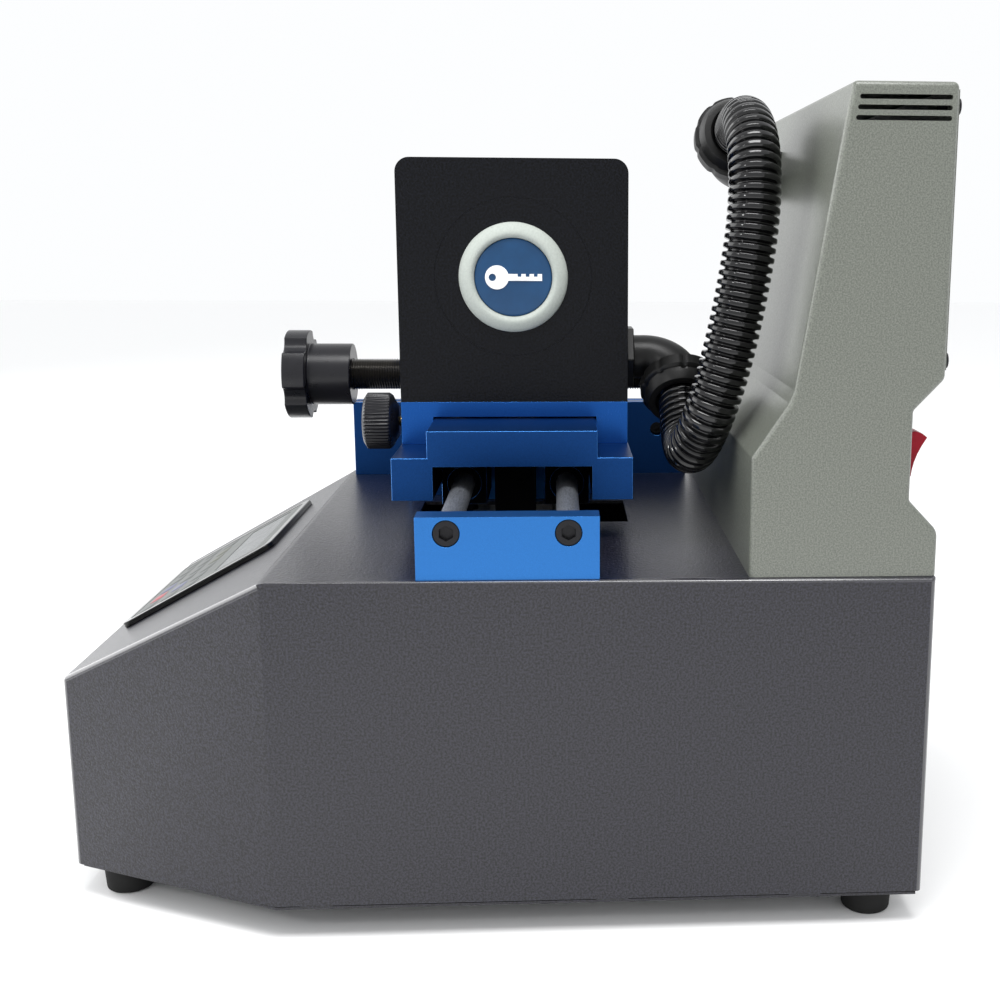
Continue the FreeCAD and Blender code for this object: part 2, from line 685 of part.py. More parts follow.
def make_electronics():
    floor_z = pan_z + dim("wall")
    supply = box("supply_case", (-120, 20, floor_z + 6), (-10, 170, floor_z + 56))
    feet = [rod("supply_foot_%d" % i, 5, (x, y, floor_z), 6.5) for i, (x, y)
            in enumerate(((-112, 28), (-18, 28), (-112, 162), (-18, 162)))]
    node("power_supply", fuse("power_supply", [supply] + feet))
    board_y = dim("tower_lean_top") + 11
    board = box("board_plate", (-70, board_y, top + 130), (70, board_y + 1.6, top + 212))
    chips = [box("chip_%d" % i, (x, board_y + 1.2, z), (x + w, board_y + 6, z + t)) for i, (x, z, w, t)
             in enumerate(((-55, top + 140, 30, 30), (0, top + 145, 24, 24), (35, top + 175, 22, 26)))]
    posts = [rod("post_%d" % i, 4, (x, board_y + 1, z), rear - board_y - 1, "y") for i, (x, z)
             in enumerate(((-64, top + 135), (64, top + 135), (-64, top + 207), (64, top + 207)))]
    node("control_board", fuse("control_board", [board] + chips + posts))


# ------------------------------------------------------------------ carriage: saddle and head
def make_saddle():
    wing = dim("wing_half")
    tongue = dim("tongue_half")
    gap = dim("opening_half")
    low_z = top + dim("leg_bottom")
    roof = top + dim("opening_top")
    tongue_z = top + dim("tongue_top")
    section = [(mid_y - wing, low_z), (mid_y - gap, low_z), (mid_y - gap, roof), (mid_y + gap, roof),
               (mid_y + gap, low_z), (mid_y + wing, low_z), (mid_y + wing, wing_z), (mid_y + tongue, wing_z),
               (mid_y + tongue, tongue_z), (mid_y - tongue, tongue_z), (mid_y - tongue, wing_z),
               (mid_y - wing, wing_z)]
    channel = profile("saddle_channel", "YZ_Plane", section, dim("saddle_far"), dim("saddle_near"))
    carriers = []
    bores = []
    bushings = []
    for i, sign in enumerate((-1, 1)):
        y = mid_y + dim("rod_half_pitch") * sign
        x_low = dim("saddle_far") + 4
        x_high = dim("saddle_near") - 46
        carriers.append(box("carrier_%d" % i, (x_low, y - 12.8, rod_z - 12), (x_high, y + 12.8, roof + 1)))
        bores.append(rod("carrier_bore_%d" % i, 9.5, (x_low - 1, y, rod_z), x_high - x_low + 2, "x"))
        for j, x in enumerate((x_low, x_high - 22)):
            tube = rod("bushing_body_%d_%d" % (i, j), 9.48, (x, y, rod_z), 22, "x")
            inner = rod("bushing_bore_%d_%d" % (i, j), dim("rod_radius") + 0.05, (x - 1, y, rod_z), 24, "x")
            bushings.append(cut("bushing_%d_%d" % (i, j), tube, [inner]))
    node("saddle", cut("saddle", fuse("saddle_solid", [channel] + carriers), bores))
    node("linear_bushings", group("linear_bushings", bushings))


def lock_place():
    """Where the lock screw enters the head block's front side."""
    return size(4), mid_y - dim("housing_half"), wing_z + 11.2


def make_head_block():
    half = dim("housing_half")
    notch = dim("tongue_half") + 0.6
    notch_z = top + dim("tongue_top") + 1
    section = [(mid_y - half, wing_z), (mid_y - notch, wing_z), (mid_y - notch, notch_z),
               (mid_y + notch, notch_z), (mid_y + notch, wing_z), (mid_y + half, wing_z),
               (mid_y + half, block_z), (mid_y - half, block_z)]
    block = profile("head_block_profile", "YZ_Plane", section, dim("head_far"),
                    dim("head_near") + dim("plate_thick"))
    x, y, z = lock_place()
    thread = rod("lock_thread", 3.05, (x, y - 1, z), 24, "y")
    node("head_block", cut("head_block", block, [thread]))
    knob_y = y - 22.8
    wheel = rod("lock_wheel", 16.3, (x, knob_y, z), 16, "y")
    shoulder = cone("lock_shoulder", 16.3, 8, (x, knob_y + 16, z), 4.3, "y")
    knob_bore = rod("lock_bore", 3.05, (x, knob_y + 8, z), 20, "y")
    node("lock_knob", cut("lock_knob", fuse("lock_knob_solid", [wheel, shoulder]), [knob_bore]))
    node("lock_screw", rod("lock_screw", 3, (x, knob_y + 8, z), 33.1, "y"))


def housing_outline(inset, low_z, high_z):
    half = dim("housing_half") - inset
    return [(mid_y - half, low_z), (mid_y + half, low_z), (mid_y + half, high_z), (mid_y - half, high_z)]


def top_corner(radius_level):
    def wanted(edge):
        b = edge.BoundBox
        return b.YLength < 0.01 and b.ZLength < 0.01 and b.XLength > 1 and b.ZMin > radius_level - 0.5
    return wanted


def make_housing():
    wall = dim("housing_wall")
    low_x = dim("head_far") + dim("plate_thick")
    high_x = dim("head_near")
    housing_top = block_z + dim("housing_height")
    outer = profile("housing_outer", "YZ_Plane", housing_outline(0, block_z, housing_top), low_x, high_x)
    outer_round = rounded("housing_outer_round", outer, dim("housing_radius"), top_corner(housing_top.value))
    inner = profile("housing_inner", "YZ_Plane", housing_outline(wall, block_z + wall, housing_top - wall),
                    low_x - 5, high_x + 5)
    inner_round = rounded("housing_inner_round", inner, dim("housing_radius") - wall,
                          top_corner((housing_top - wall).value))
    x, y, z = lower_fitting_place()
    elbow_hole = rod("elbow_hole", 9, (x, y - 8, z), 16, "y")
    tube = cut("housing_tube", outer_round, [inner_round, elbow_hole])

    def plate_blank(name, low, high):
        blank = profile(name, "YZ_Plane", housing_outline(0, block_z, housing_top), low, high)
        return rounded(name + "_round", blank, dim("housing_radius"), top_corner(housing_top.value))

    face_x = high_x + dim("plate_thick")
    scribe = cut("scribe_ring", rod("scribe_outer", 43.7, (face_x - 0.2, mid_y, spindle_z), 2, "x"),
                 [rod("scribe_inner", 43.45, (face_x - 1, mid_y, spindle_z), 4, "x")])
    node("face_plate", cut("face_plate", plate_blank("face_blank", high_x, face_x), [scribe]))
    slot = box("spindle_slot", (low_x - 8, mid_y - 9, spindle_z - 18), (low_x + 8, mid_y + 9, spindle_z + 16))
    corners = [(mid_y + sy * (dim("housing_half") - 6), block_z + z) for sy in (-1, 1) for z in (9, 120)]
    plate_holes = [rod("back_hole_%d" % i, 1.7, (low_x - 6, y, z), 8, "x")
                   for i, (y, z) in enumerate(corners)]
    blank = plate_blank("back_blank", low_x - dim("plate_thick"), low_x)
    node("back_plate", cut("back_plate", blank, [slot] + plate_holes))
    node("back_plate_screws", group("back_plate_screws", [
        socket_screw("back_screw_%d" % i, 3, 2, 1.6, 7, (low_x - dim("plate_thick"), y, z), "x", 1)
        for i, (y, z) in enumerate(corners)]))
    bosses = [rod("boss_%d" % i, 3.6, (low_x, y, z), high_x - low_x, "x")
              for i, (y, z) in enumerate(corners)]
    bores = [rod("boss_bore_%d" % i, 1.65, (low_x - 1, y, z), 8, "x")
             for i, (y, z) in enumerate(corners)]
    node("housing_shell", cut("housing_shell", fuse("housing_solid", [tube] + bosses), bores))


def make_medallion():
    face_x = dim("head_near") + dim("plate_thick")
    dome = cone("ring_dome", 30.3, 24, (face_x, mid_y, spindle_z), 4.5, "x")
    hole = rod("ring_hole", 21.5, (face_x - 1, mid_y, spindle_z), 9, "x")
    node("medallion_ring", cut("medallion_ring", dome, [hole]))
    disc = rod("disc_body", 21.4, (face_x, mid_y, spindle_z), 2.4, "x")
    node("medallion_disc", disc)
    depth = face_x + 2.4
    bow = rod("key_bow", 6.6, (depth, mid_y - 9, spindle_z), 0.5, "x")
    bow_hole = rod("key_bow_hole", 2, (depth - 1, mid_y - 11.5, spindle_z), 3, "x")
    blade = box("key_blade", (depth, mid_y - 5, spindle_z - 1.9), (depth + 0.5, mid_y + 16, spindle_z + 1.9))
    notches = []
    for i, at in enumerate((2.5, 7, 11.5)):
        notches.append(box("key_notch_%d" % i, (depth - 1, mid_y + at, spindle_z + 0.4),
                           (depth + 2, mid_y + at + 2, spindle_z + 4)))
    sign = fuse("key_sign", [bow, blade])
    node("medallion_emblem", cut("medallion_emblem", sign, [bow_hole] + notches))


# ------------------------------------------------------------------ spindle slide inside the head
def make_spindle_slide():
    block_low = dim("head_far") + dim("plate_thick") + 3
    block_high = dim("head_near") - 5
    body = box("slide_body", (block_low, mid_y - 34, spindle_z - 28),
               (block_high, mid_y + 34, spindle_z + 28))
    motor_bore = rod("slide_motor_bore", 21.1, (block_low - 1, mid_y, spindle_z),
                     block_high - block_low + 2, "x")
    rail_x = (block_low + block_high) / 2
    tools = [motor_bore]
    rails = []
    bottom = block_z + dim("housing_wall")
    ceiling = block_z + dim("housing_height") - dim("housing_wall")
    for i, sign in enumerate((-1, 1)):
        y = mid_y + sign * 28
        tools.append(rod("slide_bore_%d" % i, 3.05, (rail_x, y, spindle_z - 30), 60))
        rails.append(rod("slide_rail_%d" % i, 3, (rail_x, y, bottom), ceiling - bottom))
    tools.append(rod("actuator_socket", 3.02, (rail_x, mid_y, spindle_z + 22), 10))
    node("spindle_block", cut("spindle_block", body, tools))
    node("depth_rails", group("depth_rails", rails))
    motor_shell = rod("spindle_motor_body", 21, (block_low, mid_y, spindle_z), 32, "x")
    shaft_bore = rod("spindle_motor_bore", dim("spindle_radius") + 0.05,
                     (block_low - 1, mid_y, spindle_z), 24, "x")
    node("spindle_motor", cut("spindle_motor", motor_shell, [shaft_bore]))
    shaft_end = dim("vise_near") - 8
    wheel_x = shaft_end + 6
    shaft = rod("shaft_body", dim("spindle_radius"), (shaft_end, mid_y, spindle_z),
                block_low + 20 - shaft_end, "x")
    collar = rod("arbor_collar", 8, (wheel_x + 6, mid_y, spindle_z), 6, "x")
    node("spindle_shaft", fuse("spindle_shaft", [shaft, collar]))
    rim = dim("cutter_radius")
    wheel = rod("wheel_disc", rim, (wheel_x + 2, mid_y, spindle_z), 4, "x")
    bevel = cone("wheel_bevel", rim - 4, rim, (wheel_x, mid_y, spindle_z), 2, "x")
    gullets = []
    teeth = 24
    for i in range(teeth):
        angle = 2 * math.pi * i / teeth
        radius = rim + 0.6
        gullets.append(rod("gullet_%d" % i, 1.7, (wheel_x - 1, mid_y + radius * math.cos(angle),
                                                  spindle_z + radius * math.sin(angle)), 9, "x"))
    wheel_bore = rod("wheel_bore", dim("spindle_radius") + 0.02, (wheel_x - 2, mid_y, spindle_z), 12, "x")
    node("cutter_wheel", cut("cutter_wheel", fuse("wheel_solid", [wheel, bevel]), [wheel_bore] + gullets))
    nut = hexagon("cutter_nut_body", 14, (wheel_x - 5, mid_y, spindle_z), 5, "x")
    nut_bore = rod("cutter_nut_bore", dim("spindle_radius") + 0.02, (wheel_x - 7, mid_y, spindle_z), 12, "x")
    node("cutter_nut", cut("cutter_nut", nut, [nut_bore]))
    motor_z = spindle_z + 34
    square = box("actuator_body", (rail_x - 12, mid_y - 17, motor_z), (rail_x + 12, mid_y + 17, ceiling))
    hole = rod("actuator_hole", 3.3, (rail_x, mid_y, motor_z - 2), 60)
    node("depth_motor", cut("depth_motor", square, [hole]))
    node("depth_actuator", rod("depth_actuator", 3, (rail_x, mid_y, spindle_z + 22.2), 30))


# ------------------------------------------------------------------ key vise
def make_vise():
    low_x = dim("vise_far")
    high_x = dim("vise_near")
    plate_z = top + 16
    base = box("vise_base", (low_x, -60, top), (high_x, 68, plate_z))
    front_wall = box("vise_front", (low_x, -60, plate_z - 1), (high_x, -44, clamp_z + 17))
    rear_wall = box("vise_rear", (low_x, dim("jaw_face") + 8, plate_z - 1),
                    (high_x, dim("jaw_face") + 34, top + 104))
    lip = [rod("clamp_thread", dim("clamp_radius") + 0.05, (dim("clamp_x"), -70, clamp_z), 40, "y"),
           rod("clamp_pass", dim("clamp_radius") + 0.8, (dim("clamp_x"), 10, clamp_z), 80, "y")]
    node("vise_body", cut("vise_body", fuse("vise_solid", [base, front_wall, rear_wall]), lip))
    jaw_low = clamp_z + 11
    jaw_high = top + 104
    node("fixed_jaw", box("fixed_jaw", (dim("clamp_x") - 24, dim("jaw_face"), jaw_low),
                          (high_x, dim("jaw_face") + 8, jaw_high)))
    moving = box("moving_body", (low_x, -22, plate_z + 0.3), (high_x, -2, jaw_high))
    tools = [rod("moving_bore", dim("clamp_radius") + 0.05, (dim("clamp_x"), -30, clamp_z), 40, "y"),
             rod("moving_counterbore", 14, (dim("clamp_x"), -8, clamp_z), 10, "y"),
             box("moving_step", (low_x - 5, -6.2, clamp_z + 15), (high_x + 5, 5, jaw_high + 5))]
    node("jaw_carrier", cut("jaw_carrier", moving, tools))
    node("moving_jaw", box("moving_jaw", (dim("clamp_x") - 24, -6.2, clamp_z + 15),
                           (high_x, 5.8, jaw_high)))
    screw_start = size(-117)
    turned = [rod("clamp_rod", dim("clamp_radius"), (dim("clamp_x"), screw_start, clamp_z), 217, "y")]
    for i, (y, radius, length) in enumerate(((-25.4, 14, 3), (-7.6, 13, 3.6))):
        turned.append(rod("collar_%d" % i, radius, (dim("clamp_x"), y, clamp_z), length, "y"))
    node("clamp_screw", fuse("clamp_screw", turned))
    knob_y = size(-137.4)
    head = rod("star_blank", 28, (dim("clamp_x"), knob_y, clamp_z), 14, "y")
    scoops = []
    lobes = 5
    for i in range(lobes):
        angle = math.radians(47 + 360 * i / lobes)
        reach = 32
        scoops.append(rod("star_scoop_%d" % i, 7.8, (dim("clamp_x") + reach * math.cos(angle), knob_y - 2,
                                                     clamp_z + reach * math.sin(angle)), 26, "y"))
    hub = rod("star_hub", 19.5, (dim("clamp_x"), knob_y + 13.5, clamp_z), 27, "y")
    bore = rod("star_bore", dim("clamp_radius") + 0.02, (dim("clamp_x"), screw_start, clamp_z), 60, "y")
    lobed = cut("star_head", head, scoops)
    node("star_knob", cut("star_knob", fuse("star_solid", [lobed, hub]), [bore]))

    bar_far = dim("bar_near") - dim("bar_thick")
    bar = box("bar_body", (bar_far, dim("bar_front"), top),
              (dim("bar_near"), dim("bar_rear"), top + dim("bar_height")))
    groove = box("bar_groove", (bar_far + 7, dim("bar_front") - 1, top + dim("bar_height") - 6),
                 (bar_far + 11, dim("bar_rear") + 1, top + dim("bar_height") + 1))
    holes = []
    screws = []
    for i, y in enumerate((dim("bar_rear") - 20, dim("bar_front") + 20)):
        z = top + 31
        holes.append(rod("bar_counterbore_%d" % i, 4.7, (dim("bar_near") - 12, y, z), 14, "x"))
        holes.append(rod("bar_hole_%d" % i, 2.6, (bar_far - 2, y, z), 24, "x"))
        screws.append(socket_screw("bar_screw_%d" % i, 4.2, 5, 2.5, 6.8,
                                   (dim("bar_near") - 12, y, z), "x", -1))
    node("vise_bar", cut("vise_bar", bar, [groove] + holes))
    node("bar_screws", group("bar_screws", screws))


# ------------------------------------------------------------------ control panel
def panel_piece(corner_radius, low, high, thickness, lift=0.0):
    """A rounded plate on the front slope: low and high are its corners, across X and up the slope."""
    low_x, low_v = low
    high_x, high_v = high
    plate = Part.makeBox(high_x - low_x, high_v - low_v, thickness, Vector(low_x, low_v, lift))
    uprights = [e for e in plate.Edges if e.BoundBox.XLength < 0.01 and e.BoundBox.YLength < 0.01]
    return plate.makeFillet(corner_radius, uprights)


def make_panel():
    slope = FreeCAD.Placement(Vector(0, front.value, slope_foot.value),
                              FreeCAD.Rotation(Vector(1, 0, 0), math.degrees(slope_angle)))
    low = (-87.0, 13.0)
    high = (39.0, 110.0)
    bezel = panel_piece(7, low, high, 3.2)
    pocket = panel_piece(4, (low[0] + 5, low[1] + 5), (high[0] - 5, high[1] - 5), 2, 2.0)
    node("control_bezel", shaped("control_bezel", bezel.cut(pocket), slope))
    overlay = panel_piece(3.9, (low[0] + 5.15, low[1] + 5.15), (high[0] - 5.15, high[1] - 5.15), 1.0, 2.0)
    window_low = (low[0] + 14, high[1] - 40)
    window_high = (high[0] - 14, high[1] - 12)
    window_hole = panel_piece(2, window_low, window_high, 3, 1.0)
    node("control_overlay", shaped("control_overlay", overlay.cut(window_hole), slope))
    window = panel_piece(1.9, (window_low[0] + 0.1, window_low[1] + 0.1),
                         (window_high[0] - 0.1, window_high[1] - 0.1), 0.8, 2.0)
    node("display_window", shaped("display_window", window, slope))


# ------------------------------------------------------------------ build, test and write
def main():
    make_base_cover()
    make_pan_and_feet()
    make_tower()
    make_switch_and_inlet()
    make_conduit()
    make_rails()
    make_drive()
    make_electronics()
    make_saddle()
    make_head_block()
    make_housing()
    make_medallion()
    make_spindle_slide()
    make_vise()
    make_panel()
    doc.recompute()
    for item in doc.Objects:
        if "Invalid" in item.State or "Error" in item.State:
            raise RuntimeError("%s failed to build: %s" % (item.Name, item.State))
    os.makedirs("parts", exist_ok=True)
    whole = FreeCAD.BoundBox()
    for name, piece in nodes.items():
        shape = piece.Shape
        if shape.isNull() or not shape.isValid() or not shape.Solids:
            raise RuntimeError("%s has no valid solid" % name)
        shape.exportStep("parts/%s.step" % name)
        whole.add(shape.BoundBox)
    print("%d nodes" % len(nodes))
    print("box X %.2f..%.2f, Y %.2f..%.2f" % (whole.XMin, whole.XMax, whole.YMin, whole.YMax))
    print("box Z %.2f..%.2f" % (whole.ZMin, whole.ZMax))


main()
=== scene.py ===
"""Looks of the key duplicating machine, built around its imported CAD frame.

Places are in metres, and shape sizes in millimetres times mm.  +Z is up, the operator stands at -Y,
and +X is the operator's right."""

import math

import bmesh
import bpy
from mathutils import Matrix, Vector


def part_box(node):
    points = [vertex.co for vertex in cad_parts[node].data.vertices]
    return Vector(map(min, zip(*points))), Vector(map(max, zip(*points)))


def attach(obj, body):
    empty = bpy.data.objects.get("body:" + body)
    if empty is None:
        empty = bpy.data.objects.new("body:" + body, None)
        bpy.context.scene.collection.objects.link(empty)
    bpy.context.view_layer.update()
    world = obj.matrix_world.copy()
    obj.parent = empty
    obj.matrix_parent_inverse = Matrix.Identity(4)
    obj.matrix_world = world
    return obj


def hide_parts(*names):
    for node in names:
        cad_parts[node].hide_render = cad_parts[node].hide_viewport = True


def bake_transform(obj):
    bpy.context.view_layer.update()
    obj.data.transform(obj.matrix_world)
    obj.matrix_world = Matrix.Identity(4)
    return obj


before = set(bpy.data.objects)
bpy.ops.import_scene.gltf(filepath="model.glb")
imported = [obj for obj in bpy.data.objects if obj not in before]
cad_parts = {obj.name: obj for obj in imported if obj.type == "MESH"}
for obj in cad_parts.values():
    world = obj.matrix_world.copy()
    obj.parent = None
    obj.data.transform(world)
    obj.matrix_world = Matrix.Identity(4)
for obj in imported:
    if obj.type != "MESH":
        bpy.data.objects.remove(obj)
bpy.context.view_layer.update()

mm = 0.001
X_AXIS, Y_AXIS = 0, 1

# Sizes of the CAD model that the painted zones and the made pieces have to meet, in millimetres.
# The two rises of the tower are measured above the cover's top.
PAN_LIP_TOP = 16.5
COVER_FRONT_TOP = 121
COVER_TOP = 184
CHANNEL_HALF = 42.6
CHANNEL_ROOF = COVER_TOP + 40.7
SLOPE_RISE, SLOPE_RUN = 63.0, 114.0
TOWER_KNEE_Y, TOWER_KNEE_RISE = 145.7, 91
TOWER_PEAK_Y, TOWER_PEAK_RISE = 168.57, 232.5

# A folded sheet's broad faces are larger than this, in square metres.
BROAD_FACE = 0.004

ANODISED = ("blue", "deep_blue", "head_blue")

scene = bpy.context.scene
scene.view_settings.view_transform = "Standard"
scene.view_settings.look = "None"


# ------------------------------------------------------------------ camera, light and floor
def add_camera():
    """The camera that was fitted to the photograph's straight edges."""
    data = bpy.data.cameras.new("camera")
    data.sensor_width = 36
    data.lens = 46.29
    data.shift_x = -0.1351
    data.shift_y = -0.0200
    data.clip_start = 0.01
    camera = bpy.data.objects.new("camera", data)
    scene.collection.objects.link(camera)
    place = (0.74687, 0.03405, 0.34734)
    yaw, pitch, roll = 0.0604, 0.18905, 0.0055
    heading = Matrix.Rotation(math.pi / 2 - yaw, 4, "Z")
    tilt = Matrix.Rotation(math.pi / 2 - pitch, 4, "X")
    camera.matrix_world = Matrix.Translation(place) @ (heading @ tilt @ Matrix.Rotation(roll, 4, "Z"))
    scene.camera = camera


def add_area(name, place, target, size, power):
    """A rectangular area light that faces the target."""
    data = bpy.data.lights.new(name, "AREA")
    data.shape = "RECTANGLE"
    data.size, data.size_y = size
    data.energy = power
    light = bpy.data.objects.new(name, data)
    scene.collection.objects.link(light)
    light.location = place
    light.rotation_euler = (Vector(target) - Vector(place)).to_track_quat("-Z", "Y").to_euler()


def add_stage():
    """White surroundings, three soft lights and a pale floor just below the feet."""
    world = bpy.data.worlds.new("studio")
    scene.world = world
    world.use_nodes = True
    background = world.node_tree.nodes["Background"]
    background.inputs["Color"].default_value = (0.98, 0.99, 1.0, 1)
    background.inputs["Strength"].default_value = 1.0
    add_area("overhead", place=(0.51, 0.07, 1.5), target=(0.51, 0.07, 0.2), size=(0.5, 0.85), power=16)
    add_area("front_left", place=(0.95, -1.0, 0.9), target=(0, 0, 0.25), size=(0.14, 0.14), power=2)
    add_area("front", place=(-0.7, -1.8, 0.9), target=(0, 0, 0.2), size=(2.2, 1.6), power=26)
    bpy.ops.mesh.primitive_grid_add(x_subdivisions=8, y_subdivisions=8, size=12, location=(0, 0, -0.0003))
    floor = bpy.context.object
    floor.name = "floor"
    shade = bpy.data.materials.new("pale_floor")
    shade.use_nodes = True
    shader = shade.node_tree.nodes["Principled BSDF"]
    shader.inputs["Base Color"].default_value = (0.97, 0.97, 0.97, 1)
    shader.inputs["Roughness"].default_value = 0.8
    floor.data.materials.append(shade)


# ------------------------------------------------------------------ materials
class Shade:
    """A Principled material whose colour, roughness and relief come from procedural nodes."""

    def __init__(self, name, metallic=0.0, coat=0.0, specular=0.5):
        self.material = bpy.data.materials.new(name)
        self.material.use_nodes = True
        self.tree = self.material.node_tree
        self.shader = self.tree.nodes["Principled BSDF"]
        self.shader.inputs["Metallic"].default_value = metallic
        self.shader.inputs["Coat Weight"].default_value = coat
        self.shader.inputs["Coat Roughness"].default_value = 0.1
        self.shader.inputs["Specular IOR Level"].default_value = specular
        self.place = self.tree.nodes.new("ShaderNodeTexCoord").outputs["Object"]

    def link(self, a, b):
        self.tree.links.new(a, b)

    def stretched(self, scale):
        """Texture space scaled differently along X, Y and Z, for brushed or turned marks."""
        mapping = self.tree.nodes.new("ShaderNodeMapping")
        mapping.inputs["Scale"].default_value = scale
        self.link(self.place, mapping.inputs["Vector"])
        return mapping.outputs["Vector"]

    def noise(self, scale, detail=3.0, rough=0.5, vector=None):
        node = self.tree.nodes.new("ShaderNodeTexNoise")
        node.inputs["Scale"].default_value = scale
        node.inputs["Detail"].default_value = detail
        node.inputs["Roughness"].default_value = rough
        self.link(vector or self.place, node.inputs["Vector"])
        return node.outputs["Fac"]

    def cells(self, scale):
        node = self.tree.nodes.new("ShaderNodeTexVoronoi")
        node.feature = "SMOOTH_F1"
        node.inputs["Scale"].default_value = scale
        self.link(self.place, node.inputs["Vector"])
        return node.outputs["Distance"]

    def colour(self, source, dark, light, low=0.3, high=0.7):
        """Base colour that runs from dark to light as the source runs from low to high."""
        node = self.tree.nodes.new("ShaderNodeValToRGB")
        for element, at, tone in zip(node.color_ramp.elements, (low, high), (dark, light)):
            element.position = at
            element.color = (*tone, 1)
        self.link(source, node.inputs["Fac"])
        self.link(node.outputs["Color"], self.shader.inputs["Base Color"])

    def roughness(self, source, low, high):
        node = self.tree.nodes.new("ShaderNodeMapRange")
        node.inputs["To Min"].default_value = low
        node.inputs["To Max"].default_value = high
        self.link(source, node.inputs["Value"])
        self.link(node.outputs["Result"], self.shader.inputs["Roughness"])

    def relief(self, source, depth, strength):
        """Bump of the given depth in metres, on top of any relief that is already there."""
        node = self.tree.nodes.new("ShaderNodeBump")
        node.inputs["Distance"].default_value = depth
        node.inputs["Strength"].default_value = strength
        if self.shader.inputs["Normal"].is_linked:
            self.link(self.shader.inputs["Normal"].links[0].from_socket, node.inputs["Normal"])
        self.link(source, node.inputs["Height"])
        self.link(node.outputs["Normal"], self.shader.inputs["Normal"])


def shaded(tone, spread):
    """The tone a share darker and the same share lighter."""
    return tuple(c * (1 - spread) for c in tone), tuple(min(1.0, c * (1 + spread)) for c in tone)


def powder_coat(name, tone, grain, depth, rough, spread, specular, coat=0.0):
    """Speckled paint: fine light and dark specks, shallow orange peel, and patchy gloss."""
    shade = Shade(name, specular=specular, coat=coat)
    shade.shader.inputs["Coat Roughness"].default_value = 0.26
    dark, light = shaded(tone, spread)
    shade.colour(shade.noise(grain, 2.0, 0.7), dark, light, 0.38, 0.62)
    shade.roughness(shade.noise(grain * 0.4, 3.0), rough - 0.04, rough + 0.04)
    shade.relief(shade.noise(grain, 2.5, 0.5), depth, 0.7)
    shade.relief(shade.cells(grain * 0.55), depth * 0.6, 0.4)
    return shade.material


def metal(name, tone, rough, marks=(1, 1, 1), scale=900, depth=0.00001, metallic=1.0, spread=0.1,
          specular=0.5):
    """Metal with fine machining marks, drawn out along an axis where marks has a low value."""
    shade = Shade(name, metallic=metallic, specular=specular)
    space = shade.stretched(marks)
    dark, light = shaded(tone, spread)
    shade.colour(shade.noise(scale, 3.0, 0.6, space), dark, light)
    shade.roughness(shade.noise(scale * 0.6, 3.0, 0.6, space), rough * 0.75, rough * 1.25)
    shade.relief(shade.noise(scale, 2.0, 0.5, space), depth, 0.5)
    return shade.material


def plastic(name, tone, rough, grain=900, depth=0.00001, coat=0.0, specular=0.5):
    """Plastic, rubber or enamel: an even tone with faint patches and a fine grain."""
    shade = Shade(name, coat=coat, specular=specular)
    dark, light = shaded(tone, 0.15)
    shade.colour(shade.noise(80, 4.0, 0.6), dark, light)
    shade.roughness(shade.noise(160, 3.0), rough * 0.85, rough * 1.2)
    shade.relief(shade.noise(grain, 2.0), depth, 0.5)
    return shade.material


